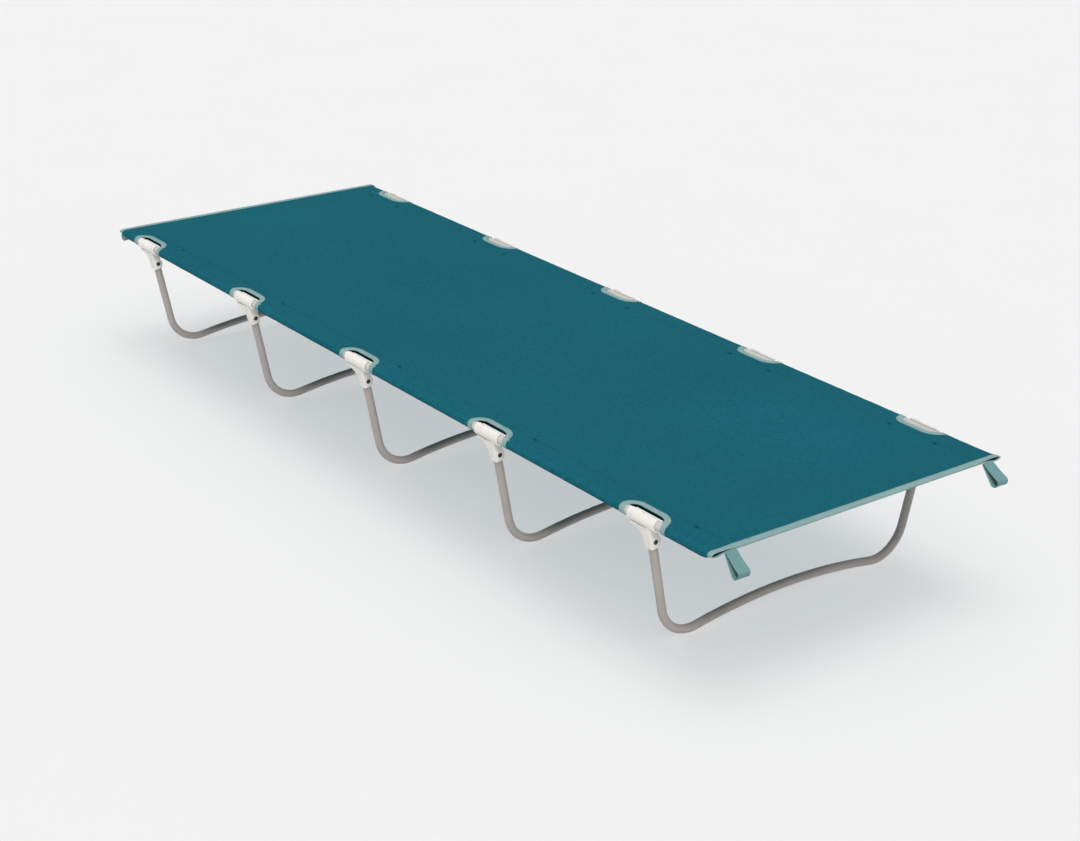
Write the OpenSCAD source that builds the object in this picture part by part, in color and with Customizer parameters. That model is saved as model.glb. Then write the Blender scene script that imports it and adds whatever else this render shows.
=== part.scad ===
// Low camp cot: a taut cloth bed on two long rails, carried by five clip-on hoop legs.
// Frame: X along the bed with the foot end at +X, Y across it, Z up, floor at Z = 0.
// Every leg is one assembly, with a snap clip at each end that holds a rail.

/* [Bed] */
// Overall length of the cloth, from binding to binding
bed_length = 1900; // [1700:10:2100]
// Distance between the centre lines of the two rails
rail_spacing = 630; // [560:5:720]
// Height of the rail centre lines above the floor
rail_height = 226; // [200:1:280]
// Distance from the edge of the cloth to the seam of its rail tunnel
seam_inset = 46; // [40:1:60]
// Thickness of the cloth
cloth_thk = 0.9; // [0.8:0.1:1.2]

/* [Rails] */
// Outer diameter of the rail tube
rail_d = 16; // [14:1:18]
// Wall of the rail tube and of the leg tube
tube_wall = 1.2; // [1:0.1:1.5]
// Length of the spigot that joins two rail sections
joiner_len = 120; // [80:5:160]
// Distance that a rail stays back from the end of the cloth
rail_setback = 26; // [10:1:40]

/* [Legs] */
// X position of the leg nearest the head end
first_leg_x = -825; // [-840:5:-800]
// Distance between neighbouring legs
leg_pitch = 405; // [380:5:420]
// Outer diameter of the leg tube
leg_d = 15; // [14:1:16]
// Lean of the uprights: each foot stands further in than its rail
leg_lean = 12.5; // [8:0.5:14]
// Centre-line radius of the two bends
bend_r = 66; // [55:1:75]
// Rise of the foot bar's middle above its two ground contacts
arch_rise = 19; // [12:1:25]

/* [Clips] */
// Outer radius of the clip barrel that wraps the rail
barrel_r = 11.3; // [11.1:0.1:11.6]
// Gap between the clip barrel and the rail
rail_gap = 0.3; // [0.2:0.05:0.4]
// How far the barrel runs from the leg's axis towards the head end
barrel_head = 42; // [36:1:44]
// How far the barrel runs from the leg's axis towards the foot end
barrel_foot = 22; // [14:1:26]
// Distance from the rail's axis down to the rivet
rivet_drop = 36; // [34:1:38]
// Distance from the rail's axis down to the lower edge of the clip
clip_drop = 47.5; // [46:0.5:52]

/* [Trim] */
// Width of the binding tape round each clip cutout
tape_w = 10; // [8:1:12]
// Thickness of the binding tape
tape_thk = 0.7; // [0.6:0.1:0.9]
// Width of the webbing in the pull loops
loop_w = 25; // [20:1:30]

/* [Hidden] */
$fn = 48;
LEGS = [1:5];
LEG_PARTS = ["tube", "left_clip", "right_clip", "rivets"];
ROOT_NODES = [
    "bed_fabric", "left_hem", "right_hem", "head_end_binding", "foot_end_binding",
    "left_cutout_bindings", "right_cutout_bindings", "head_pull_loops", "foot_pull_loops",
    "left_rail_head", "left_rail_middle", "left_rail_foot",
    "right_rail_head", "right_rail_middle", "right_rail_foot",
    "left_rail_joiners", "right_rail_joiners", "left_rail_end_caps", "right_rail_end_caps"
];

// Sides: the left rail lies at -Y and the right rail at +Y.
LEFT = -1;
RIGHT = 1;
// Ends: the head end lies at -X and the foot end at +X.
HEAD = -1;
FOOT = 1;

rail_y = rail_spacing / 2;
rail_r = rail_d / 2;
rail_bore_r = rail_r - tube_wall;
slide_gap = 0.1;
tunnel_in_r = rail_r + slide_gap;
tunnel_r = tunnel_in_r + cloth_thk;
deck_z = rail_height + tunnel_r;
half_len = bed_length / 2;
seam_y = rail_y + tunnel_r - seam_inset;
seam_w = rail_y - seam_y;
seam_stitch = 3;
tunnel_low = tunnel_r - 2 * cloth_thk;

// Rail sections
rail_half = half_len - rail_setback;
section_len = 2 * rail_half / 3;
section_gap = 0.4;
joiner_r = rail_bore_r - slide_gap;
cap_thk = 3;
cap_stem = 15;

// Leg centre line, in the YZ plane, worked out for the +Y half
leg_r = leg_d / 2;
leg_bore_r = leg_r - tube_wall;
bend_z = bend_r + leg_r;
upright_slope = (rail_height - bend_z + bend_r * sin(leg_lean)) / cos(leg_lean);
bend_y = rail_y - upright_slope * sin(leg_lean) - bend_r * cos(leg_lean);
arch_sum = (bend_y * bend_y + arch_rise * arch_rise) / (2 * arch_rise);
arch_r = arch_sum - bend_r;
arch_half = asin(bend_y / arch_sum);
arch_top = leg_r + arch_rise;
bend_steps = 9;
foot_steps = 2;
arch_steps = 6;
leg_sides = 16;
tube_top = 19;

// Clip
bore_r = rail_r + rail_gap;
clip_half_x = 9.75;
clip_outer = 9.75;
clip_inner = 8;
clip_corner = 3;
boss_r = 9.6;
boss_half = 10.2;
socket_r = leg_r + 0.05;
socket_top = tube_top - 0.5;
mouth_from = 78;
mouth_to = 150;
slit_drop = 9.6;
slit_in = 4.5;
slit_w = 1.6;
slit_end = 2;
gusset_top = 9;
gusset_ledge = 4.5;
gusset_drop = 34;
gusset_reach = barrel_head - 4;
gusset_thk = 12;
gusset_steps = 6;
tab_from = -36;
tab_len = 20;
tab_thk = 1.4;
tab_h = 3.4;
neck_top = 6;

// Rivet
rivet_r = 2.5;
rivet_hole_r = 2.55;
rivet_core_r = 1.5;
rivet_head_r = 4.2;
rivet_head_thk = 1;
recess_r = 4.6;
recess_depth = 1.4;

// Cutouts in the hems, measured from each leg's axis and along Y
cut_head = 53;
cut_foot = 36;
cut_y = rail_y - 15;
cut_corner_head = 17;
cut_corner_foot = 28;
cut_out = 40;

// End bindings and pull loops
end_tape_w = 10;
end_tape_h = 5.6;
end_fold = 1.5;
deck_half = half_len - end_tape_w - slide_gap;
tongue_lap = 2;
loop_y = 290;
loop_thk = 1.6;
loop_end_r = 7;
loop_root_r = 2.4;
loop_root_z = rail_height + 6;
loop_reach = 24;
loop_fall = 30;

function leg_x(i) = first_leg_x + (i - 1) * leg_pitch;
function polar(r, a) = [r * cos(a), r * sin(a)];

// Outline of a rail tunnel of radius r whose seam lies w inward of the rail's axis: flat on top, round
// the rail, then straight from the rail's underside to the seam's lower edge at height low.
function tunnel_outline(r, w, low) =
    let (d = sqrt(w * w + low * low), fall = atan2(low, -w) + acos(r / d))
    concat([[-w, r]], [for (k = [0:24]) polar(r, 90 + (fall - 360 - 90) * k / 24)], [[-w, low]]);

module ring(outer, inner) {
    difference() {
        circle(outer);
        circle(inner);
    }
}

// Turns a shape drawn in XY into one drawn in YZ and extruded along X from x0 to x1.
module along_x(x0, x1) {
    translate([x0, 0, 0]) rotate([90, 0, 90]) linear_extrude(x1 - x0) children();
}

module on_side(side) {
    mirror([0, side == RIGHT ? 0 : 1, 0]) children();
}

// ---- cloth ----

module bed_fabric() {
    color("#20616F") {
        translate([-deck_half, -seam_y, deck_z - cloth_thk]) cube([2 * deck_half, 2 * seam_y, cloth_thk]);
        for (end = [HEAD, FOOT]) mirror([end == HEAD ? 1 : 0, 0, 0])
            translate([deck_half - tongue_lap, -seam_y, deck_z - cloth_thk - tape_thk])
                cube([half_len - end_fold - deck_half + tongue_lap, 2 * seam_y, cloth_thk]);
    }
}

// Points of a quarter circle of radius r round centre c, from angle a to a + 90.
function quarter(c, r, a) = [for (k = [0:8]) c + polar(r, a + 90 * k / 8)];

// Plan of one cutout, widened by grow on its three closed sides.
module cutout_plan(grow) {
    r0 = cut_corner_head + grow;
    r1 = cut_corner_foot + grow;
    x0 = -cut_head - grow;
    x1 = cut_foot + grow;
    y0 = cut_y - grow;
    polygon(concat(quarter([x0 + r0, y0 + r0], r0, 180), quarter([x1 - r1, y0 + r1], r1, 270),
        [[x1, rail_y + cut_out], [x0, rail_y + cut_out]]));
}

module cutout(grow = 0) {
    translate([0, 0, rail_height - 2 * tunnel_r]) linear_extrude(4 * tunnel_r) cutout_plan(grow);
}

// A tunnel-shaped shell between two outlines, from x0 to x1. stitch is the width that is solid at the seam.
module tunnel_shell(r_out, low_out, r_in, low_in, stitch, x0, x1) {
    along_x(x0, x1) translate([rail_y, rail_height]) difference() {
        polygon(tunnel_outline(r_out, seam_w, low_out));
        polygon(tunnel_outline(r_in, seam_w - stitch, low_in));
    }
}

// A skin of binding tape that lies on the outside of a hem.
module tape_skin(x0, x1) {
    tunnel_shell(tunnel_r + tape_thk, tunnel_low - tape_thk, tunnel_r, tunnel_low, 0, x0, x1);
}

module hem(side) {
    color("#1F5E6C") on_side(side) difference() {
        tunnel_shell(tunnel_r, tunnel_low, tunnel_in_r, tunnel_in_r - slide_gap, seam_stitch,
            -half_len + end_fold, half_len - end_fold);
        for (i = LEGS) translate([leg_x(i), 0, 0]) cutout();
    }
}

module cutout_bindings(side) {
    color("#8CAFAC") on_side(side) for (i = LEGS) difference() {
        intersection() {
            tape_skin(leg_x(i) - cut_head - 2 * tape_w, leg_x(i) + cut_foot + 2 * tape_w);
            translate([leg_x(i), 0, 0]) cutout(tape_w);
        }
        translate([leg_x(i), 0, 0]) cutout();
    }
}

module end_binding(end) {
    color("#8CAFAC") mirror([end == HEAD ? 1 : 0, 0, 0]) {
        difference() {
            translate([half_len - end_tape_w, -seam_y, deck_z - end_tape_h])
                cube([end_tape_w, 2 * seam_y, end_tape_h + tape_thk]);
            translate([half_len - end_tape_w - 1, -seam_y - 1, deck_z - cloth_thk - tape_thk])
                cube([end_tape_w + 1 - end_fold, 2 * seam_y + 2, cloth_thk]);
        }
        for (side = [LEFT, RIGHT]) on_side(side) tape_skin(half_len - end_tape_w, half_len);
    }
}

module loop_outline(r_root, r_end) {
    hull() {
        circle(r_root);
        translate([loop_reach, -loop_fall]) circle(r_end);
    }
}

module pull_loops(end) {
    color("#8CAFAC") mirror([end == HEAD ? 1 : 0, 0, 0]) for (y = [-loop_y, loop_y])
        translate([half_len + loop_root_r + slide_gap, y + loop_w / 2, loop_root_z])
            rotate([90, 0, 0]) linear_extrude(loop_w) difference() {
                loop_outline(loop_root_r, loop_end_r);
                loop_outline(loop_root_r - loop_thk, loop_end_r - loop_thk);
            }
}

// ---- rails ----

module rail_section(side, part) {
    x0 = -rail_half + (part + 1) * section_len;
    color("#A8A19C") translate([0, side * rail_y, rail_height])
        along_x(x0 + section_gap / 2, x0 + section_len - section_gap / 2) ring(rail_r, rail_bore_r);
}

module rail_joiners(side) {
    color("silver") for (part = [0, 1])
        translate([-rail_half + (part + 1) * section_len, side * rail_y, rail_height])
            along_x(-joiner_len / 2, joiner_len / 2) ring(joiner_r, joiner_r - tube_wall);
}

module rail_end_caps(side) {
    color("#2B2B2B") for (end = [HEAD, FOOT])
        translate([end * rail_half, side * rail_y, rail_height]) rotate([0, end * 90, 0]) {
            cylinder(r = rail_r - slide_gap, h = cap_thk);
            translate([0, 0, -cap_stem]) cylinder(r = rail_bore_r - slide_gap, h = cap_stem + 1);
        }
}

// ---- legs ----

// Local frame of a clip and of the leg's upright: the rail's axis along X, the leg running down.
module upright_frame(i, side) {
    translate([leg_x(i), 0, 0]) on_side(side) translate([0, rail_y, rail_height])
        rotate([-leg_lean, 0, 0]) children();
}

// Points and normals [y, z, n] of the leg's centre line, from the right clip down and across to the left
// one. n is the angle of the outward normal, which points away from the middle of the hoop.
function arc_line(c, r, n0, n1, steps, out) =
    [for (k = [0:steps]) let (n = n0 + (n1 - n0) * k / steps) concat(c + out * polar(r, n), [n])];

function half_line() = concat(
    [[rail_y - tube_top * sin(leg_lean), rail_height - tube_top * cos(leg_lean), -leg_lean]],
    arc_line([bend_y, bend_z], bend_r, -leg_lean, -90, bend_steps, 1),
    [for (p = arc_line([bend_y, bend_z], bend_r, -90, -90 - arch_half, foot_steps, 1)) if (p[2] < -90) p]);
function flipped(line) = [for (k = [len(line) - 1:-1:0]) [-line[k][0], line[k][1], -180 - line[k][2]]];

// Corner points of one cross-section of radius r at a point of the centre line.
function section(p, r) = [for (j = [0:leg_sides - 1])
    let (a = 360 * j / leg_sides) [r * sin(a), p[0] + r * cos(a) * cos(p[2]), p[1] + r * cos(a) * sin(p[2])]];

// Faces between two closed rows of corner points that start at points a and b.
function band(a, b) = [for (j = [0:leg_sides - 1])
    let (k = (j + 1) % leg_sides) [a + j, a + k, b + k, b + j]];

module leg_tube(i) {
    half = half_line();
    arch = arc_line([0, arch_top - arch_r], arch_r, -90 - arch_half, -90 + arch_half, arch_steps, -1);
    line = concat(half, [for (k = [1:arch_steps - 1]) arch[k]], flipped(half));
    inner = len(line) * leg_sides;
    last = inner - leg_sides;
    color("#A39A95") difference() {
        translate([leg_x(i), 0, 0]) polyhedron(
            points = [for (r = [leg_r, leg_bore_r], p = line) each section(p, r)],
            faces = concat(
                [for (k = [0:leg_sides:last - 1]) each band(k, k + leg_sides)],
                [for (k = [0:leg_sides:last - 1]) each band(inner + k + leg_sides, inner + k)],
                band(inner, 0), band(last, inner + last)));
        for (side = [LEFT, RIGHT]) upright_frame(i, side) translate([-leg_d, 0, -rivet_drop])
            rotate([0, 90, 0]) cylinder(r = rivet_hole_r, h = 2 * leg_d);
    }
}

// Plan of the neck: a rounded block, deeper on the outer side than on the inner one.
module neck_plan() {
    hull() for (x = [-1, 1], y = [-clip_inner + clip_corner, clip_outer - clip_corner])
        translate([x * (clip_half_x - clip_corner), y]) circle(clip_corner, $fn = 24);
}

module clip_neck() {
    translate([0, 0, -clip_drop]) linear_extrude(clip_drop - neck_top) neck_plan();
    translate([-boss_half, 0, -rivet_drop]) rotate([0, 90, 0]) cylinder(r = boss_r, h = 2 * boss_half);
}

// Web under the barrel, hollowed to a quarter ellipse between the barrel's end and the neck.
module clip_gusset() {
    hollow_x = gusset_reach - clip_half_x + 1;
    hollow_z = gusset_drop - gusset_top - gusset_ledge;
    hollow = [for (k = [0:gusset_steps]) let (a = 90 * k / gusset_steps)
        [hollow_x * cos(a) - gusset_reach, hollow_z * sin(a) - gusset_drop]];
    translate([0, clip_outer, 0]) rotate([90, 0, 0]) linear_extrude(gusset_thk)
        polygon(concat([[-gusset_reach, -gusset_top], [0, -gusset_top], [0, -gusset_drop]], hollow));
}

module clip_barrel() {
    along_x(-barrel_head, barrel_foot) circle(barrel_r);
    // Release tab along the upper lip
    along_x(tab_from, tab_from + tab_len) rotate(mouth_from) translate([(bore_r + barrel_r) / 2, 0])
        square([barrel_r - bore_r + tab_h, 2 * tab_thk], center = true);
}

// Everything that is cut away from the clip round the rail: its bore, its mouth and the slit.
module clip_rail_space() {
    reach = 3 * barrel_r;
    along_x(-barrel_head - 1, barrel_foot + 1) {
        circle(bore_r);
        polygon([[0, 0], polar(reach, mouth_from), polar(reach, (mouth_from + mouth_to) / 2),
            polar(reach, mouth_to)]);
    }
    along_x(-barrel_head - 1, slit_end) translate([slit_in, -slit_drop - slit_w / 2])
        square([barrel_r, slit_w]);
}

module clip(i, side) {
    color("#DEDBD4") difference() {
        union() {
            translate([leg_x(i), 0, 0]) on_side(side) translate([0, rail_y, rail_height]) clip_barrel();
            upright_frame(i, side) {
                clip_neck();
                clip_gusset();
            }
        }
        translate([leg_x(i), 0, 0]) on_side(side) translate([0, rail_y, rail_height]) clip_rail_space();
        upright_frame(i, side) {
            translate([0, 0, -clip_drop - 1]) cylinder(r = socket_r, h = clip_drop + 1 - socket_top);
            translate([0, 0, -rivet_drop]) rotate([0, 90, 0]) {
                cylinder(r = rivet_hole_r, h = 4 * clip_half_x, center = true);
                for (s = [-1, 1]) translate([0, 0, s * boss_half])
                    cylinder(r = recess_r, h = 2 * recess_depth, center = true);
            }
        }
    }
}

module rivets(i) {
    head_x = boss_half - recess_depth;
    color("#3A3A3A") for (side = [LEFT, RIGHT]) upright_frame(i, side) translate([0, 0, -rivet_drop])
        rotate([0, 90, 0]) difference() {
            union() {
                cylinder(r = rivet_r, h = 2 * head_x, center = true);
                for (s = [0, 1]) mirror([0, 0, s]) translate([0, 0, head_x])
                    cylinder(r = rivet_head_r, h = rivet_head_thk);
            }
            cylinder(r = rivet_core_r, h = 4 * boss_half, center = true);
        }
}

bed_fabric();
hem(LEFT);  // left_hem
hem(RIGHT);  // right_hem
end_binding(HEAD);  // head_end_binding
end_binding(FOOT);  // foot_end_binding
cutout_bindings(LEFT);  // left_cutout_bindings
cutout_bindings(RIGHT);  // right_cutout_bindings
pull_loops(HEAD);  // head_pull_loops
pull_loops(FOOT);  // foot_pull_loops
rail_section(LEFT, -1);  // left_rail_head
rail_section(LEFT, 0);  // left_rail_middle
rail_section(LEFT, 1);  // left_rail_foot
rail_section(RIGHT, -1);  // right_rail_head
rail_section(RIGHT, 0);  // right_rail_middle
rail_section(RIGHT, 1);  // right_rail_foot
rail_joiners(LEFT);  // left_rail_joiners
rail_joiners(RIGHT);  // right_rail_joiners
rail_end_caps(LEFT);  // left_rail_end_caps
rail_end_caps(RIGHT);  // right_rail_end_caps
for (i = LEGS) {
    leg_tube(i);
    clip(i, LEFT);
    clip(i, RIGHT);
    rivets(i);
}
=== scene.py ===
import math

import bmesh
import bpy
import numpy as np
from mathutils import Matrix, Vector


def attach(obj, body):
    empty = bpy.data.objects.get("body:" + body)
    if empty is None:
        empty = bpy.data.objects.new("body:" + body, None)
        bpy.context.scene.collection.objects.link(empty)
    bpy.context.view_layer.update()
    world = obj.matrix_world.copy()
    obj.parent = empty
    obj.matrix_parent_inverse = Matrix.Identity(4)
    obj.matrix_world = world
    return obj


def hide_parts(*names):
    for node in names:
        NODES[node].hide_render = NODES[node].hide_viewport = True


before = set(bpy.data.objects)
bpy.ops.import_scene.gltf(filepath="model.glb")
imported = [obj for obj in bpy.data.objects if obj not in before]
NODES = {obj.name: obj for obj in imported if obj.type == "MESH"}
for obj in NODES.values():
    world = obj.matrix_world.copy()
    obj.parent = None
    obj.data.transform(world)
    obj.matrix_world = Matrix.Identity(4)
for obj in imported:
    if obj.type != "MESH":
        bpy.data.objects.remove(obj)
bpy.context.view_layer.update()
MM = 0.001

# ---- sizes, in millimetres, as in the CAD model ----

HALF_LEN, RAIL_HALF = 950.0, 924.0
RAIL_Y, RAIL_Z = 315.0, 226.0
TUNNEL_R, TUNNEL_LOW, SEAM_Y = 9.0, 7.2, 278.0  # TUNNEL_LOW: the seam's lower edge over the rail's axis
SEAM_W = RAIL_Y - SEAM_Y
DECK_Z = RAIL_Z + TUNNEL_R
CLOTH, END_FOLD = 0.9, 1.5
LEG_X = [-825.0 + 405.0 * i for i in range(5)]
LEG_R, TUBE_WALL, LEAN, BEND_R, ARCH_RISE = 7.5, 1.2, math.radians(12.5), 66.0, 19.0
TUBE_TOP = 19.0
CUT_HEAD, CUT_FOOT, CUT_IN, CUT_R_HEAD, CUT_R_FOOT = 53.0, 36.0, 15.0, 17.0, 28.0
LOOP_Y, LOOP_W, LOOP_THK = 290.0, 25.0, 1.6

# ---- sizes that only the looks have ----

TUCK, TUCK_DROP = 1.5, 0.55        # the deck's edge under each tunnel
SAG, PULL = 5.0, 0.45              # of the deck's middle, and of the ripples beside each clip
STITCH_IN, STITCH_H = 8.2, 0.72    # of the bindings' stitches, from the cloth's edge and over the cloth
TUBE_SIDES, WRAP_STEPS, CORNER_STEPS = 36, 24, 12
MOULD_GRID, MOULD_PASSES, MOULD_KEEP = 0.42, 7, 0.28
LOOP_ROOT, LOOP_TIP = (HALF_LEN + 2.5, RAIL_Z + 6.0), (HALF_LEN + 30.0, RAIL_Z - 19.5)
LOOP_ROOT_R, LOOP_TIP_R = 1.1, 7.8


# ---- node materials ----

class Nodes:
    """Short hand for building a node material."""

    def __init__(self, name, **sockets):
        self.mat = bpy.data.materials.new(name)
        self.mat.use_nodes = True
        self.tree = self.mat.node_tree
        self.bsdf = next(n for n in self.tree.nodes if n.type == "BSDF_PRINCIPLED")
        for key, value in sockets.items():
            self.bsdf.inputs[key.replace("_", " ")].default_value = value

    def add(self, kind, values=None, **props):
        node = self.tree.nodes.new(kind)
        for key, value in props.items():
            setattr(node, key, value)
        for key, value in (values or {}).items():
            if isinstance(value, tuple) and hasattr(value[0], "outputs"):
                self.link(value, node.inputs[key])
            else:
                node.inputs[key].default_value = value
        return node

    def link(self, source, socket):
        node, out = source
        self.tree.links.new(node.outputs[out], socket)

    def math(self, op, a, b=None):
        node = self.tree.nodes.new("ShaderNodeMath")
        node.operation = op
        for k, value in enumerate((a, b)):
            if isinstance(value, tuple):
                self.link(value, node.inputs[k])
            elif value is not None:
                node.inputs[k].default_value = value
        return (node, 0)

    def ramp(self, source, stops):
        node = self.tree.nodes.new("ShaderNodeValToRGB")
        self.link(source, node.inputs[0])
        while len(node.color_ramp.elements) < len(stops):
            node.color_ramp.elements.new(0.5)
        for e, (at, colour) in zip(node.color_ramp.elements, stops):
            e.position = at
            e.color = (*colour, 1.0)
        return (node, "Color")

    def bump(self, layers):
        """Stacks bump layers of (height, strength, distance in metres)."""
        last = None
        for height, strength, distance in layers:
            node = self.add("ShaderNodeBump", {"Strength": strength, "Distance": distance})
            self.link(height, node.inputs["Height"])
            if last:
                self.link(last, node.inputs["Normal"])
            last = (node, "Normal")
        self.link(last, self.bsdf.inputs["Normal"])


def srgb(*rgb):
    """A linear colour from 0 to 255 screen values."""
    return tuple(c / 12.92 if c <= 0.04045 else ((c + 0.055) / 1.055) ** 2.4 for c in (v / 255 for v in rgb))


def noise(m, coords, scale, detail, roughness, stretch=None):
    """Noise over coords, each in metres. stretch gives a scale for each axis in place of scale."""
    if stretch:
        mapped = m.add("ShaderNodeMapping", {"Vector": coords, "Scale": stretch})
        coords, scale = (mapped, 0), 1.0
    node = m.add("ShaderNodeTexNoise",
                 {"Vector": coords, "Scale": scale, "Detail": detail, "Roughness": roughness})
    return (node, "Fac")


def blend(m, *terms):
    """The sum of (value, weight) terms."""
    total = None
    for value, weight in terms:
        term = m.math("MULTIPLY", value, weight)
        total = m.math("ADD", total, term) if total else term
    return total


def weave_height(m, coords, pitch):
    """Plain weave: warp and weft ridges that pass over and under one another."""
    sep = m.add("ShaderNodeSeparateXYZ", {"Vector": coords})
    k = math.pi / pitch
    u, v = m.math("MULTIPLY", (sep, 0), k), m.math("MULTIPLY", (sep, 1), k)

    def thread(along, phase):
        dip = m.math("ADD", m.math("MULTIPLY", m.math("SINE", phase), 0.3), 0.7)
        return m.math("MULTIPLY", m.math("ABSOLUTE", m.math("SINE", along)), dip)

    return m.math("MAXIMUM", thread(u, m.math("ADD", v, u)), thread(v, m.math("SUBTRACT", u, v)))


def deck_material():
    m = Nodes("deck_weave", Roughness=0.9)
    m.bsdf.inputs["Specular IOR Level"].default_value = 0.04
    coords = (m.add("ShaderNodeTexCoord"), "Object")
    fine = noise(m, coords, 900.0, 3.0, 0.7)
    slub = noise(m, coords, 1.0, 4.0, 0.6, stretch=(90.0, 1100.0, 90.0))
    cross_slub = noise(m, coords, 1.0, 4.0, 0.6, stretch=(1100.0, 90.0, 90.0))
    patch = noise(m, coords, 3.2, 3.0, 0.5)
    tone = blend(m, (slub, 0.34), (cross_slub, 0.34), (fine, 0.22), (patch, 0.10))
    colour = m.ramp(tone, [(0.36, srgb(11, 73, 87)), (0.50, srgb(22, 92, 106)), (0.64, srgb(35, 111, 125))])
    m.link(colour, m.bsdf.inputs["Base Color"])
    m.link(m.math("ADD", m.math("MULTIPLY", fine, 0.16), 0.78), m.bsdf.inputs["Roughness"])
    m.bump([(patch, 0.15, 0.003), (slub, 0.25, 0.0003), (weave_height(m, coords, 0.0011), 0.5, 0.00025)])
    return m.mat


def tape_material(name, dark, mid, light, rib, across, strength=0.8):
    """Ribbed tape. Its mesh carries UVs in metres: U along the tape, V across it."""
    m = Nodes(name, Roughness=0.85)
    m.bsdf.inputs["Specular IOR Level"].default_value = 0.08
    tex = m.add("ShaderNodeTexCoord")
    sep = m.add("ShaderNodeSeparateXYZ", {"Vector": (tex, "UV")})
    along, over = (sep, 0), (sep, 1)

    def ribs(where, pitch):
        return m.math("ABSOLUTE", m.math("SINE", m.math("MULTIPLY", where, math.pi / pitch)))

    ridge, cross = ribs(along if across else over, rib), ribs(over if across else along, rib * 0.6)
    grain = noise(m, (tex, "Object"), 700.0, 3.0, 0.7)
    patch = noise(m, (tex, "Object"), 40.0, 2.0, 0.5)
    height = blend(m, (ridge, 0.75), (cross, 0.25))
    # Colour follows the rib relief: painted shade in the grooves and a painted highlight on the ridges; grain
    # and patch add uneven tone.
    tone = blend(m, (height, 0.45), (grain, 0.4), (patch, 0.15))
    m.link(m.ramp(tone, [(0.25, dark), (0.52, mid), (0.8, light)]), m.bsdf.inputs["Base Color"])
    m.bump([(height, strength, 0.0005), (grain, 0.4, 0.0002)])
    return m.mat


def paint_material(name, low, high, rough):
    """Powder coat: a fine orange peel over the metal, slightly uneven in tone."""
    m = Nodes(name, Roughness=rough, Metallic=0.0)
    m.bsdf.inputs["Specular IOR Level"].default_value = 0.45
    m.bsdf.inputs["Coat Weight"].default_value = 0.12
    m.bsdf.inputs["Coat Roughness"].default_value = 0.35
    coords = (m.add("ShaderNodeTexCoord"), "Object")
    peel, cloud = noise(m, coords, 1400.0, 2.0, 0.6), noise(m, coords, 14.0, 3.0, 0.6)
    tone = blend(m, (peel, 0.45), (cloud, 0.55))
    m.link(m.ramp(tone, [(0.35, low), (0.65, high)]), m.bsdf.inputs["Base Color"])
    m.link(m.math("ADD", m.math("MULTIPLY", cloud, 0.14), rough - 0.07), m.bsdf.inputs["Roughness"])
    m.bump([(peel, 0.22, 0.0003)])
    return m.mat


def plastic_material(name, low, high, rough):
    """Moulded plastic with a finely spark-eroded surface."""
    m = Nodes(name, Roughness=rough)
    m.bsdf.inputs["Specular IOR Level"].default_value = 0.4
    m.bsdf.inputs["Subsurface Weight"].default_value = 0.06
    m.bsdf.inputs["Subsurface Scale"].default_value = 0.004
    coords = (m.add("ShaderNodeTexCoord"), "Object")
    grain, cloud = noise(m, coords, 900.0, 3.0, 0.7), noise(m, coords, 60.0, 2.0, 0.5)
    tone = blend(m, (grain, 0.4), (cloud, 0.6))
    m.link(m.ramp(tone, [(0.35, low), (0.65, high)]), m.bsdf.inputs["Base Color"])
    m.link(m.math("ADD", m.math("MULTIPLY", grain, 0.12), rough - 0.06), m.bsdf.inputs["Roughness"])
    m.bump([(grain, 0.2, 0.00025)])
    return m.mat


def steel_material(name, low, high, rough):
    """Metal with a fine brushed grain along X."""
    m = Nodes(name, Roughness=rough, Metallic=1.0)
    coords = (m.add("ShaderNodeTexCoord"), "Object")
    brush = noise(m, coords, 1.0, 3.0, 0.6, stretch=(60.0, 1600.0, 1600.0))
    m.link(m.ramp(brush, [(0.3, low), (0.7, high)]), m.bsdf.inputs["Base Color"])
    m.link(m.math("ADD", m.math("MULTIPLY", brush, 0.2), rough - 0.1), m.bsdf.inputs["Roughness"])
    m.bump([(brush, 0.15, 0.0002)])
    return m.mat


DECK = deck_material()
# These tapes carry painted shade in their rib grooves and a painted highlight on their ridges.
TAPE = tape_material("binding_rib", srgb(96, 130, 131), srgb(130, 163, 163), srgb(160, 188, 187),
                     0.0016, True)
WEBBING = tape_material("webbing_rib", srgb(66, 104, 107), srgb(100, 140, 141), srgb(136, 170, 169),
                        0.0030, False, 1.0)
THREAD = tape_material("deck_thread", srgb(14, 74, 88), srgb(20, 88, 102), srgb(28, 100, 114), 0.0008, True)
LEG_PAINT = paint_material("leg_powder_coat", srgb(158, 150, 144), srgb(172, 163, 157), 0.42)
RAIL_PAINT = paint_material("rail_powder_coat", srgb(186, 182, 177), srgb(200, 196, 191), 0.40)
CLIP_PLASTIC = plastic_material("clip_moulded", srgb(222, 219, 212), srgb(234, 231, 225), 0.5)
CAP_PLASTIC = plastic_material("cap_moulded", srgb(30, 30, 31), srgb(44, 44, 45), 0.55)
RIVET_STEEL = steel_material("rivet_blackened", srgb(52, 52, 54), srgb(96, 95, 94), 0.42)
SPIGOT_STEEL = steel_material("spigot_zinc", srgb(165, 167, 170), srgb(200, 202, 205), 0.35)


# ---- mesh helpers ----

def new_object(name, points, faces, material, uvs=None, smooth=True):
    """A piece from points in millimetres and faces, with one UV per face corner where uvs is given."""
    mesh = bpy.data.meshes.new(name)
    mesh.from_pydata([tuple(float(c) * MM for c in p) for p in points], [], faces)
    if uvs is not None:
        layer = mesh.uv_layers.new(name="UVMap")
        for k, uv in enumerate(uvs):
            layer.data[k].uv = uv
    mesh.validate()
    if smooth:
        mesh.polygons.foreach_set("use_smooth", [True] * len(mesh.polygons))
    mesh.update()
    obj = bpy.data.objects.new(name, mesh)
    obj.data.materials.append(material)
    bpy.context.scene.collection.objects.link(obj)
    return obj


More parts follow.
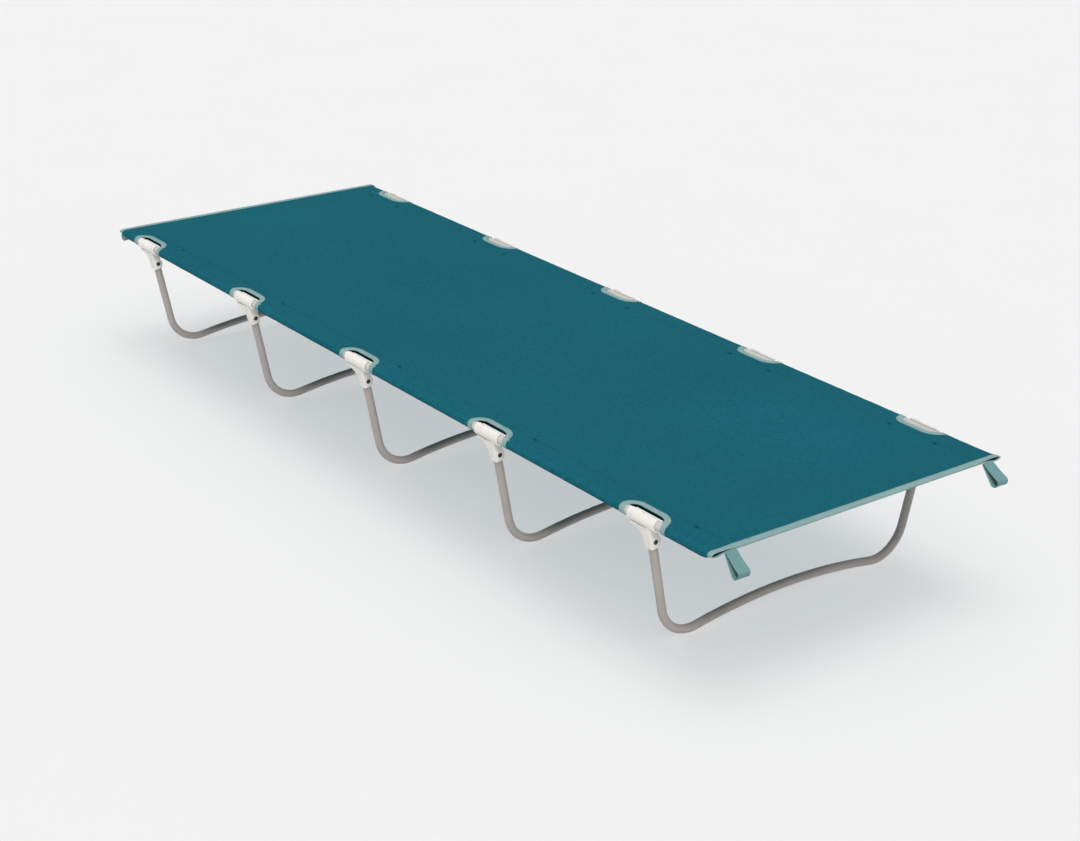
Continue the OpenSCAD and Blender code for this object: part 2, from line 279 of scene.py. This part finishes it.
def outward(obj):
    """Turns every face of a closed mesh outward."""
    bm = bmesh.new()
    bm.from_mesh(obj.data)
    bmesh.ops.recalc_face_normals(bm, faces=bm.faces)
    bm.to_mesh(obj.data)
    bm.free()
    return obj


def baked(obj):
    """Applies the object's modifiers to its mesh."""
    graph = bpy.context.evaluated_depsgraph_get()
    mesh = bpy.data.meshes.new_from_object(obj.evaluated_get(graph), depsgraph=graph)
    old, obj.data = obj.data, mesh
    obj.modifiers.clear()
    mesh.name = obj.name
    bpy.data.meshes.remove(old)
    return obj


def strip(rows, closed_rows, closed_cols, widths=None, lengths=None, caps=False):
    """Points, faces and UVs of a surface through rows of points."""
    n, m = len(rows), len(rows[0])
    points = [p for row in rows for p in row]
    lengths = lengths or list(range(n + 1))
    widths = widths or list(range(m + 1))
    faces, uvs = [], []
    for i in range(n if closed_rows else n - 1):
        a = (i + 1) % n
        for j in range(m if closed_cols else m - 1):
            b = (j + 1) % m
            faces.append((i * m + j, i * m + b, a * m + b, a * m + j))
            u0, u1, v0, v1 = lengths[i] * MM, lengths[i + 1] * MM, widths[j] * MM, widths[j + 1] * MM
            uvs += [(u0, v0), (u0, v1), (u1, v1), (u1, v0)]
    if caps:
        for i in (0, n - 1):
            faces.append(tuple(i * m + j for j in range(m)))
            uvs += [(lengths[i] * MM, widths[j] * MM) for j in range(m)]
    return points, faces, uvs


def running(points, closed=False):
    """Running length at each point of a line, with the closing length last."""
    out = [0.0]
    loop = list(points) + ([points[0]] if closed else [])
    for a, b in zip(loop, loop[1:]):
        out.append(out[-1] + math.dist(a, b))
    return out if closed else out + [out[-1] + 1.0]


# ---- the rail tunnel's own surface, measured along x and s ----

# s runs out over the top from the seam, round the rail, and back underneath to the seam. FALL is the
# angle round the rail's axis at which the cloth leaves the rail again.

FALL = math.atan2(TUNNEL_LOW, -SEAM_W) + math.acos(TUNNEL_R / math.hypot(SEAM_W, TUNNEL_LOW)) - 2 * math.pi
S_TOP = SEAM_W
S_WRAP = S_TOP + TUNNEL_R * (math.pi / 2 - FALL)
UNDER_END = (TUNNEL_R * math.cos(FALL), TUNNEL_R * math.sin(FALL))
UNDER_LEN = math.dist(UNDER_END, (-SEAM_W, TUNNEL_LOW))
S_END = S_WRAP + UNDER_LEN
S_CUT = S_TOP - CUT_IN
S_CUT_LOW = S_WRAP + (UNDER_END[0] + CUT_IN) / ((UNDER_END[0] + SEAM_W) / UNDER_LEN)


def tunnel_point(s, h=0.0):
    """The point (y, z) at s, lifted h off the tunnel's surface."""
    if s <= S_TOP:
        return (SEAM_Y + s, DECK_Z + h)
    if s <= S_WRAP:
        a = math.pi / 2 - (s - S_TOP) / TUNNEL_R
        return (RAIL_Y + (TUNNEL_R + h) * math.cos(a), RAIL_Z + (TUNNEL_R + h) * math.sin(a))
    t = (s - S_WRAP) / UNDER_LEN
    y = RAIL_Y + UNDER_END[0] * (1 - t) - SEAM_W * t
    z = RAIL_Z + UNDER_END[1] * (1 - t) + TUNNEL_LOW * t
    return (y + h * math.cos(FALL), z + h * math.sin(FALL))


def squash(x, y, z):
    """Presses the empty end of a tunnel flat, past the end of its rail."""
    t = max(0.0, min(1.0, (abs(x) - RAIL_HALF - 1.0) / 22.0))
    out = abs(y) - SEAM_Y
    if t == 0.0 or out <= 0.0:
        return (x, y, z)
    t = t * t * (3 - 2 * t) * min(1.0, out / 14.0)
    wide = 2.6 * t * max(0.0, (abs(y) - RAIL_Y) / TUNNEL_R)
    return (x, y + math.copysign(wide, y), DECK_Z - (DECK_Z - z) * (1 - 0.56 * t))


def place(x, s, side, h=0.0):
    y, z = tunnel_point(s, h)
    return squash(x, side * y, z)


def ripple(x, y):
    """Small lift of the taut cloth: short pulls beside each clip."""
    lift = 0.0
    for leg in LEG_X:
        for spot in (leg - CUT_HEAD - 6, leg + CUT_FOOT + 6):
            d = math.hypot(x - spot, (abs(y) - 300.0) * 1.5)
            lift += PULL * math.exp(-((d / 34.0) ** 2)) * math.cos(0.16 * (x - spot))
    return lift


def deck_height(x, y):
    """Height of the deck cloth over the plane through its edges."""
    along = 1 - abs(x / HALF_LEN) ** 8
    over = 1 - min(1.0, abs(y) / SEAM_Y) ** 2.2
    return -SAG * along * over + ripple(x, y) * min(1.0, (HALF_LEN - abs(x)) / 30.0) * 0.6


# ---- cloth deck ----

def deck_cloth():
    xs = np.linspace(-HALF_LEN + END_FOLD, HALF_LEN - END_FOLD, 381)
    ys = np.concatenate([[-SEAM_Y - TUCK], np.linspace(-SEAM_Y, SEAM_Y, 113), [SEAM_Y + TUCK]])
    base = [DECK_Z - CLOTH / 2 - (TUCK_DROP if abs(y) > SEAM_Y else 0.0) for y in ys]
    rows = [[(x, y, z + deck_height(x, y)) for y, z in zip(ys, base)] for x in xs]
    points, faces, uvs = strip(rows, False, False, list(ys) + [0], list(xs) + [0])
    obj = new_object("deck_cloth", points, faces, DECK, uvs)
    shell = obj.modifiers.new("thickness", "SOLIDIFY")
    shell.thickness, shell.offset = CLOTH * MM, 0.0
    return outward(baked(obj))


def cutout_span(x):
    """Where the cutout opens and closes along s at x, and whether x is its very end. None outside."""
    for leg in LEG_X:
        lo, hi = leg - CUT_HEAD, leg + CUT_FOOT
        if lo - 1e-6 <= x <= hi + 1e-6:
            drop = 0.0
            for d, r in ((x - lo, CUT_R_HEAD), (hi - x, CUT_R_FOOT)):
                if d < r:
                    drop = r - math.sqrt(max(0.0, r ** 2 - (r - max(0.0, d)) ** 2))
            return S_CUT + drop, S_CUT_LOW - drop, min(x - lo, hi - x) < 1e-6
    return None


def hem_cloth(side):
    """The rail tunnel: one cloth round the rail, open at the five cutouts."""
    name = "left_hem_cloth" if side < 0 else "right_hem_cloth"
    bm = bmesh.new()
    top = np.linspace(0.0, 1.0, 19)
    wrap = np.linspace(0.0, 1.0, WRAP_STEPS + 1)[1:-1]
    under = np.linspace(0.0, 1.0, 15)
    marks = [-HALF_LEN + END_FOLD]
    for leg in LEG_X:
        lo, hi = leg - CUT_HEAD, leg + CUT_FOOT
        bend = [1 - math.cos(math.pi / 2 * t) for t in np.linspace(0.0, 1.0, 11)]
        while lo - marks[-1] > 14:
            marks.append(marks[-1] + min(12.0, (lo - marks[-1]) / 2 + 2))
        marks += [lo + CUT_R_HEAD * b for b in bend]
        marks += list(np.linspace(lo + CUT_R_HEAD, hi - CUT_R_FOOT, 7)[1:-1])
        marks += [hi - CUT_R_FOOT * b for b in reversed(bend)]
    end = HALF_LEN - END_FOLD
    while end - marks[-1] > 14:
        marks.append(marks[-1] + 10.0)
    marks.append(end)

    def wobble(x, s):
        fade = math.sin(math.pi * min(1.0, s / S_WRAP))
        return 0.16 * fade * math.sin(x * 0.11 + s * 0.23) * math.sin(x * 0.037 + 1.7)

    def vert(x, s):
        return bm.verts.new([c * MM for c in place(x, s, side, wobble(x, s))])

    columns = []
    for x in marks:
        cut = cutout_span(x)
        s_hi, s_lo, whole = cut or (S_TOP, S_WRAP, True)
        upper = [vert(x, t * s_hi) for t in top]
        lower = [vert(x, s_lo + t * (S_END - s_lo)) for t in under]
        ring = [vert(x, s_hi + t * (s_lo - s_hi)) for t in wrap] if whole else None
        columns.append((upper, ring, lower, cut))
    for (u0, r0, l0, c0), (u1, r1, l1, c1) in zip(columns, columns[1:]):
        for a, b in ((u0, u1), (l0, l1)):
            for k in range(len(a) - 1):
                bm.faces.new((a[k], a[k + 1], b[k + 1], b[k]))
        inside = c0 is not None and c1 is not None
        if r0 and r1 and not inside:
            a, b = [u0[-1]] + r0 + [l0[0]], [u1[-1]] + r1 + [l1[0]]
            for k in range(len(a) - 1):
                bm.faces.new((a[k], a[k + 1], b[k + 1], b[k]))
    bmesh.ops.recalc_face_normals(bm, faces=bm.faces)
    mesh = bpy.data.meshes.new(name)
    bm.to_mesh(mesh)
    bm.free()
    probe = max(mesh.polygons, key=lambda p: p.center.z)
    if probe.normal.z < 0:
        mesh.flip_normals()
    mesh.polygons.foreach_set("use_smooth", [True] * len(mesh.polygons))
    obj = bpy.data.objects.new(name, mesh)
    obj.data.materials.append(DECK)
    bpy.context.scene.collection.objects.link(obj)
    shell = obj.modifiers.new("thickness", "SOLIDIFY")
    shell.thickness, shell.offset = CLOTH * MM, -1.0
    return baked(obj)


# ---- stitches ----

def stitch_mesh(name, spots, material, length=3.0, width=0.55, height=0.45):
    """Many short raised threads: spots hold (place, direction, up)."""
    points, faces = [], []
    ring = 6
    stations = [(-0.5, 0.25), (-0.3, 0.85), (0.0, 1.0), (0.3, 0.85), (0.5, 0.25)]
    for at, along, up in spots:
        at, along, up = Vector(at), Vector(along).normalized(), Vector(up).normalized()
        across = along.cross(up).normalized()
        base = len(points)
        for t, r in stations:
            for k in range(ring):
                a = 2 * math.pi * k / ring
                points.append(at + along * (t * length) + across * (math.cos(a) * width / 2 * r)
                              + up * (math.sin(a) * height / 2 * r + height * 0.15))
        for i in range(len(stations) - 1):
            for k in range(ring):
                b = (k + 1) % ring
                near, far = base + i * ring, base + (i + 1) * ring
                faces.append((near + k, near + b, far + b, far + k))
        faces.append(tuple(base + k for k in range(ring)))
        faces.append(tuple(base + (len(stations) - 1) * ring + k for k in range(ring)))
    return outward(new_object(name, points, faces, material))


def seam_stitches(side):
    spots = []
    for row, y in enumerate((SEAM_Y - 1.6, SEAM_Y + 5.0)):
        x = -HALF_LEN + 14 + 2.0 * row
        while x < HALF_LEN - 13:
            lift = deck_height(x, y) if y < SEAM_Y else 0.0
            spots.append(((x, side * y, DECK_Z + lift - 0.06), (1, 0, 0), (0, 0, 1)))
            x += 4.2
    name = ("left" if side < 0 else "right") + "_seam_stitches"
    return stitch_mesh(name, spots, THREAD, 3.1, 0.45, 0.3)


def bartacks(side):
    """Short dense bars of thread beside each clip, where the tunnel takes the pull."""
    spots = []
    bars = [(72.0, 281.0)] if side < 0 else [(-47.0, 271.0), (58.0, 271.0)]
    for leg in LEG_X:
        for dx, middle in bars:
            for k in range(-3, 4):
                for j in (-1, 0, 1):
                    x, y = leg + dx + 3.2 * j + 0.4 * k, middle + 0.9 * k
                    lift = deck_height(x, y) if y < SEAM_Y else 0.0
                    spots.append(((x, side * y, DECK_Z + lift + 0.02), (1, 0, 0), (0, 0, 1)))
    return stitch_mesh("left_bartacks" if side < 0 else "right_bartacks", spots, THREAD, 3.2, 0.8, 0.55)


# ---- binding tapes ----

# Outline of a folded tape: distance from the cloth's edge and height over the cloth's surface.
FOLD = [(1.4, -1.75), (-0.2, -1.7), (-0.75, -1.25), (-0.95, -0.5), (-0.85, 0.2), (-0.35, 0.68), (0.6, 0.84),
        (2.2, 0.82), (4.4, 0.74), (6.8, 0.7), (8.8, 0.7), (9.7, 0.62), (10.0, 0.34), (9.9, 0.02), (8.0, -0.12),
        (4.0, -0.12), (1.6, -0.15), (1.3, -1.0)]


def cutout_binding(leg, side, index):
    """A folded tape round one cutout: across the top, round the rail's outer side and back underneath.
    Also gives the places of its stitches."""
    path = []
    lo, hi = leg - CUT_HEAD, leg + CUT_FOOT

    def corner(cx, cs, r, a0):
        for k in range(CORNER_STEPS + 1):
            a = a0 + math.pi / 2 * k / CORNER_STEPS
            path.append((cx + r * math.cos(a), cs + r * math.sin(a), math.cos(a), math.sin(a)))

    def line(a, b, normal, steps):
        for k in range(1, steps):
            t = k / steps
            path.append((a[0] + (b[0] - a[0]) * t, a[1] + (b[1] - a[1]) * t, *normal))

    s0, s1, r0, r1 = S_CUT, S_CUT_LOW, CUT_R_HEAD, CUT_R_FOOT
    corner(lo + r0, s0 + r0, r0, math.pi)
    line((lo + r0, s0), (hi - r1, s0), (0, -1), 12)
    corner(hi - r1, s0 + r1, r1, 1.5 * math.pi)
    line((hi, s0 + r1), (hi, s1 - r1), (1, 0), 4)
    corner(hi - r1, s1 - r1, r1, 0.0)
    line((hi - r1, s1), (lo + r0, s1), (0, 1), 12)
    corner(lo + r0, s1 - r0, r0, 0.5 * math.pi)
    line((lo, s1 - r0), (lo, s0 + r0), (-1, 0), 16)
    rows, line3 = [], []
    for k, (x, s, nx, ns) in enumerate(path):
        puff = 1 + 0.05 * math.sin(k * 0.9 + index) + 0.04 * math.sin(k * 0.37 + 2 * index)
        wave = 0.18 * math.sin(k * 0.31 + index * 1.3)
        row = []
        for v, h in FOLD:
            w = v + (wave if v > 5 else 0.0)
            row.append(place(x + nx * w, s + ns * w, side, h * puff if h > 0 else h))
        rows.append(row)
        line3.append(place(x, s, side))
    widths = running(FOLD, True)
    points, faces, uvs = strip(rows, True, True, widths, running(line3, True))
    name = ("left" if side < 0 else "right") + f"_cutout_binding_{index}"
    obj = outward(new_object(name, points, faces, TAPE, uvs))

    def stitch(point, h):
        x, s, nx, ns = point
        return Vector(place(x + nx * STITCH_IN, s + ns * STITCH_IN, side, h))

    spots = []
    for point, ahead in zip(path, path[1:] + path[:1]):
        here = stitch(point, STITCH_H)
        spots.append((here, stitch(ahead, STITCH_H) - here, stitch(point, 2.0) - here))
    return obj, spots


def end_path():
    """Points (y, z, ny, nz, mid) round the end of the cloth, from the left tunnel's lower seam, round the
    left rail, across the deck and round the right rail. mid is 1 on the deck and 0 on the tunnels."""
    half = []
    for s in list(np.linspace(S_END - 0.5, S_WRAP, 9)) + list(np.linspace(S_WRAP, S_TOP, 22))[1:]:
        y, z = tunnel_point(s)
        y1, z1 = tunnel_point(s, 1.0)
        half.append((y, z, y1 - y, z1 - z, 0.0))
    for y in np.linspace(S_TOP, 0.0, 10)[1:]:
        half.append((SEAM_Y + y, DECK_Z, 0.0, 1.0, max(0.0, 1 - y / 14.0)))
    deck = [(y, DECK_Z, 0.0, 1.0, 1.0) for y in np.linspace(SEAM_Y, -SEAM_Y, 90)[1:-1]]
    left = [(-y, z, -ny, nz, m) for y, z, ny, nz, m in half]
    return left + [(-y, z, ny, nz, m) for y, z, ny, nz, m in deck] + half[::-1]


def end_binding(end):
    """The folded tape across one end of the cloth and round both tunnels, and its stitches' places."""
    path = end_path()
    rows, line3 = [], []
    for k, (y, z, ny, nz, mid) in enumerate(path):
        deep = 1.7 + 3.1 * mid
        edge = [(9.9, 0.0), (9.8, 0.55), (8.8, 0.7), (6.5, 0.72), (3.5, 0.78), (1.3, 0.8),
                (0.35, 0.62), (-0.1, 0.1),
                (-0.25, -0.5 * deep), (-0.1, -deep + 0.2), (0.5, -deep - 0.1), (2.0, -deep - 0.12),
                (5.0, -deep), (8.6, -deep + 0.1), (8.8, -deep + 0.6), (5.0, -deep + 0.75), (2.4, -deep + 0.8),
                (1.8, -0.4 * deep), (2.2, -0.15), (6.0, -0.1)]
        if mid == 0:
            edge = [(v, h) if h > -0.3 else (min(v, 4.0), h) for v, h in edge]
        wave = 0.14 * math.sin(k * 0.53) + 0.1 * math.sin(k * 0.19 + 1.0)
        row = []
        for v, h in edge:
            w = v + (wave if v > 6 else 0.0)
            sag = deck_height(end * (HALF_LEN - v), y) if abs(y) < SEAM_Y else 0.0
            row.append(squash(end * (HALF_LEN - w), y + ny * h, z + nz * h + sag))
        rows.append(row)
        line3.append((0, y, z))
    widths = running(edge, True)
    points, faces, uvs = strip(rows, False, True, widths, running(line3), caps=True)
    name = ("head" if end < 0 else "foot") + "_end_tape"
    obj = outward(new_object(name, points, faces, TAPE, uvs))
    spots = []
    for y in np.arange(-316, 317, 4.3):
        lift = deck_height(end * (HALF_LEN - 8), y) if abs(y) < SEAM_Y else 0.0
        spots.append(((end * (HALF_LEN - 8.2), y, DECK_Z + 0.68 + lift), (0, 1, 0), (0, 0, 1)))
    return obj, spots


# ---- pull loops ----

def pull_loop(end, side):
    """One band of webbing, hung as a teardrop from under the end binding."""
    root, tip = Vector(LOOP_ROOT), Vector(LOOP_TIP)
    axis = tip - root
    length = axis.length
    axis.normalize()
    cross = Vector((-axis.y, axis.x))
    widening = LOOP_TIP_R - LOOP_ROOT_R
    path = []
    n = 26
    for k in range(n + 1):
        t = k / n
        belly = t ** 1.25 * (1 - 0.12 * math.sin(math.pi * t))
        path.append(root + axis * (t * length) + cross * (LOOP_ROOT_R + widening * belly))
    for k in range(1, 12):
        a = math.pi / 2 - math.pi * k / 12
        path.append(tip + axis * (6.6 * math.cos(a)) + cross * (LOOP_TIP_R * math.sin(a)))
    for k in range(n + 1):
        t = 1 - k / n
        path.append(root + axis * (t * length) - cross * (LOOP_ROOT_R + widening * t ** 0.9))
    rows, line3 = [], []
    half, thick = LOOP_W / 2, LOOP_THK / 2
    edge = [(-half + 0.5, thick), (-half, 0.0), (-half + 0.5, -thick)]
    edge += [(v, -thick) for v in np.linspace(-half + 2, half - 2, 9)]
    edge += [(half - 0.5, -thick), (half, 0.0), (half - 0.5, thick)]
    edge += [(v, thick) for v in np.linspace(half - 2, -half + 2, 9)]
    count = len(path)
    for k, p in enumerate(path):
        a, b = path[max(0, k - 1)], path[min(count - 1, k + 1)]
        tangent = (b - a).normalized()
        normal = Vector((-tangent.y, tangent.x))
        t = (p - root).dot(axis) / length
        lean = 2.2 * t * side
        row = []
        for v, h in edge:
            cup = 0.5 * (v / half) ** 2 * t
            q = p + normal * (h + cup)
            row.append((end * q.x, side * LOOP_Y + v * (1 - 0.06 * (1 - t)) + lean, q.y))
        rows.append(row)
        line3.append((p.x, 0, p.y))
    points, faces, uvs = strip(rows, True, True, running(edge, True), running(line3, True))
    name = ("head" if end < 0 else "foot") + ("_left" if side < 0 else "_right") + "_pull_loop"
    return outward(new_object(name, points, faces, WEBBING, uvs))


# ---- leg hoops ----

def leg_line():
    """Points (y, z, normal angle) of a leg's centre line, from the right clip to the left one."""
    bend_z = BEND_R + LEG_R
    slope = (RAIL_Z - bend_z + BEND_R * math.sin(LEAN)) / math.cos(LEAN)
    bend_y = RAIL_Y - slope * math.sin(LEAN) - BEND_R * math.cos(LEAN)
    total = (bend_y ** 2 + ARCH_RISE ** 2) / (2 * ARCH_RISE)
    arch_r = total - BEND_R
    half = math.asin(bend_y / total)
    line = []
    for t in np.linspace(TUBE_TOP, slope, 14)[:-1]:
        line.append((RAIL_Y - t * math.sin(LEAN), RAIL_Z - t * math.cos(LEAN), -LEAN))
    for n in np.linspace(-LEAN, -math.pi / 2 - half, 37):
        line.append((bend_y + BEND_R * math.cos(n), bend_z + BEND_R * math.sin(n), n))
    for n in np.linspace(-math.pi / 2 - half, -math.pi / 2, 20)[1:]:
        line.append((-arch_r * math.cos(n), LEG_R + ARCH_RISE - arch_r - arch_r * math.sin(n), n))
    mirror = [(-y, z, -math.pi - n) for y, z, n in reversed(line[:-1])]
    return line + mirror


LEG_LINE = leg_line()


def leg_hoop(index, x0):
    def rings(radius, line):
        turns = [2 * math.pi * k / TUBE_SIDES for k in range(TUBE_SIDES)]
        return [[(x0 + radius * math.sin(a), y + radius * math.cos(a) * math.cos(n),
                  z + radius * math.cos(a) * math.sin(n)) for a in turns] for y, z, n in line]

    rows = rings(LEG_R, LEG_LINE) + rings(LEG_R - TUBE_WALL, LEG_LINE[::-1])
    points, faces, _ = strip(rows, True, True)
    return outward(new_object(f"leg_{index}_hoop", points, faces, LEG_PAINT))


# ---- clips: the CAD solid with moulded, rounded edges ----

def moulded(node, name):
    """A copy of a CAD clip with every edge rounded off as a moulding's are."""
    source = NODES[node]
    mesh = source.data.copy()
    obj = bpy.data.objects.new(name, mesh)
    bpy.context.scene.collection.objects.link(obj)
    bm = bmesh.new()
    bm.from_mesh(mesh)
    bmesh.ops.remove_doubles(bm, verts=bm.verts, dist=1e-6)
    bmesh.ops.recalc_face_normals(bm, faces=bm.faces)
    bm.to_mesh(mesh)
    bm.free()
    grid = obj.modifiers.new("grid", "REMESH")
    grid.mode, grid.voxel_size = "VOXEL", MOULD_GRID * MM
    soft = obj.modifiers.new("soft", "SMOOTH")
    soft.factor, soft.iterations = 0.5, MOULD_PASSES
    lean = obj.modifiers.new("lean", "DECIMATE")
    lean.ratio = MOULD_KEEP
    obj.data.materials.clear()
    obj.data.materials.append(CLIP_PLASTIC)
    baked(obj)
    obj.data.materials.clear()
    obj.data.materials.append(CLIP_PLASTIC)
    obj.data.polygons.foreach_set("use_smooth", [True] * len(obj.data.polygons))
    return obj


def shifted_copy(source, name, dx):
    mesh = source.data.copy()
    mesh.transform(Matrix.Translation((dx * MM, 0, 0)))
    obj = bpy.data.objects.new(name, mesh)
    bpy.context.scene.collection.objects.link(obj)
    return obj


# ---- build ----

deck = deck_cloth()
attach(deck, "bed")
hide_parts("bed_fabric")

for side, word in ((-1, "left"), (1, "right")):
    hem = hem_cloth(side)
    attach(hem, "bed")
    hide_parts(f"{word}_hem")
    for piece in (seam_stitches(side), bartacks(side)):
        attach(piece, "bed")
    tapes, spots = [], []
    for k, leg in enumerate(LEG_X):
        tape, at = cutout_binding(leg, side, k + 1)
        spots += at
        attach(tape, "bed")
        tapes.append(tape)
    for tape in tapes:
        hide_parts(f"{word}_cutout_bindings")
    thread = stitch_mesh(f"{word}_binding_stitches", spots, TAPE, 2.4, 0.5, 0.35)
    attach(thread, "bed")

for end, word in ((-1, "head"), (1, "foot")):
    tape, spots = end_binding(end)
    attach(tape, "bed")
    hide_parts(f"{word}_end_binding")
    thread = stitch_mesh(f"{word}_end_stitches", spots, TAPE, 3.0, 0.5, 0.35)
    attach(thread, "bed")
    for side in (-1, 1):
        loop = pull_loop(end, side)
        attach(loop, "bed")
        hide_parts(f"{word}_pull_loops")

master = {"left": moulded("leg_3_left_clip", "leg_3_left_moulding"),
          "right": moulded("leg_3_right_clip", "leg_3_right_moulding")}
for k, x in enumerate(LEG_X):
    body = f"leg_{k + 1}"
    hoop = leg_hoop(k + 1, x)
    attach(hoop, body)
    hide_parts(f"{body}_tube")
    for word, source in master.items():
        clip = source if k == 2 else shifted_copy(source, f"{body}_{word}_moulding", x - LEG_X[2])
        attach(clip, body)
        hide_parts(f"{body}_{word}_clip")

KEPT = {"rail_head": RAIL_PAINT, "rail_middle": RAIL_PAINT, "rail_foot": RAIL_PAINT, "joiners": SPIGOT_STEEL,
        "end_caps": CAP_PLASTIC, "rivets": RIVET_STEEL}
for name, obj in NODES.items():
    for ending, material in KEPT.items():
        if name.endswith(ending):
            for k in range(len(obj.material_slots)):
                obj.material_slots[k].material = material


# ---- stage, light and camera ----

def stage():
    """A plain pale floor, wider than any view of it."""
    bpy.ops.mesh.primitive_plane_add(size=60.0, location=(0, 0, -0.0006))
    floor = bpy.context.object
    floor.name = "floor"
    m = Nodes("floor_paper", Roughness=0.95)
    m.bsdf.inputs["Specular IOR Level"].default_value = 0.0
    cloud = noise(m, (m.add("ShaderNodeTexCoord"), "Object"), 3.0, 2.0, 0.5)
    m.link(m.ramp(cloud, [(0.3, (0.798,) * 3), (0.7, (0.802,) * 3)]), m.bsdf.inputs["Base Color"])
    floor.data.materials.append(m.mat)
    return floor


def sun(name, source, strength, degrees, shadow, floor=None, lights_floor=True):
    """A studio light far enough away to be even: source is the direction that it comes from. Where the
    floor is given, the light falls on the floor alone, or on everything but the floor."""
    data = bpy.data.lights.new(name, "SUN")
    data.energy, data.angle, data.use_shadow = strength, math.radians(degrees), shadow
    obj = bpy.data.objects.new(name, data)
    obj.rotation_mode = "QUATERNION"
    obj.rotation_quaternion = (-Vector(source)).to_track_quat("-Z", "Y")
    obj.location = Vector(source)
    bpy.context.scene.collection.objects.link(obj)
    if floor:
        lit = bpy.data.collections.new(f"{name}_lit")
        lit.objects.link(floor)
        lit.collection_objects[0].light_linking.link_state = "INCLUDE" if lights_floor else "EXCLUDE"
        obj.light_linking.receiver_collection = lit


def light(floor):
    """An even sky, a soft key from above and a front fill that leaves the floor's shadow pale."""
    world = bpy.data.worlds.new("studio")
    bpy.context.scene.world = world
    world.use_nodes = True
    back = next(n for n in world.node_tree.nodes if n.type == "BACKGROUND")
    back.inputs["Color"].default_value = (1.0, 1.0, 1.0, 1.0)
    back.inputs["Strength"].default_value = 0.40
    sun("key", (-0.6, 0.5, 4.0), 0.465, 40.0, True)
    sun("fill_floor", (1.6, -1.4, 2.6), 2.334, 20.0, False, floor)
    sun("fill", (1.6, -1.4, 2.6), 2.334, 20.0, True, floor, False)


def camera():
    """The camera's place and turn (yaw, pitch, roll), fitted to the bed's own corners and feet."""
    yaw, pitch, roll = (math.radians(a) for a in (141.520, -22.836, 1.747))
    ahead = Vector((math.cos(pitch) * math.cos(yaw), math.cos(pitch) * math.sin(yaw), math.sin(pitch)))
    right = Vector((math.sin(yaw), -math.cos(yaw), 0.0))
    up = right.cross(ahead)
    side = right * math.cos(roll) + up * math.sin(roll)
    top = up * math.cos(roll) - right * math.sin(roll)
    data = bpy.data.cameras.new("camera")
    data.lens, data.sensor_width, data.clip_end = 68.06, 36.0, 100.0
    obj = bpy.data.objects.new("camera", data)
    obj.matrix_world = Matrix((
        (side.x, top.x, -ahead.x, 2.9251), (side.y, top.y, -ahead.y, -2.2305),
        (side.z, top.z, -ahead.z, 1.5934), (0, 0, 0, 1)))
    bpy.context.scene.collection.objects.link(obj)
    bpy.context.scene.camera = obj


floor = stage()
light(floor)
camera()
bpy.context.scene.view_settings.view_transform = "Standard"
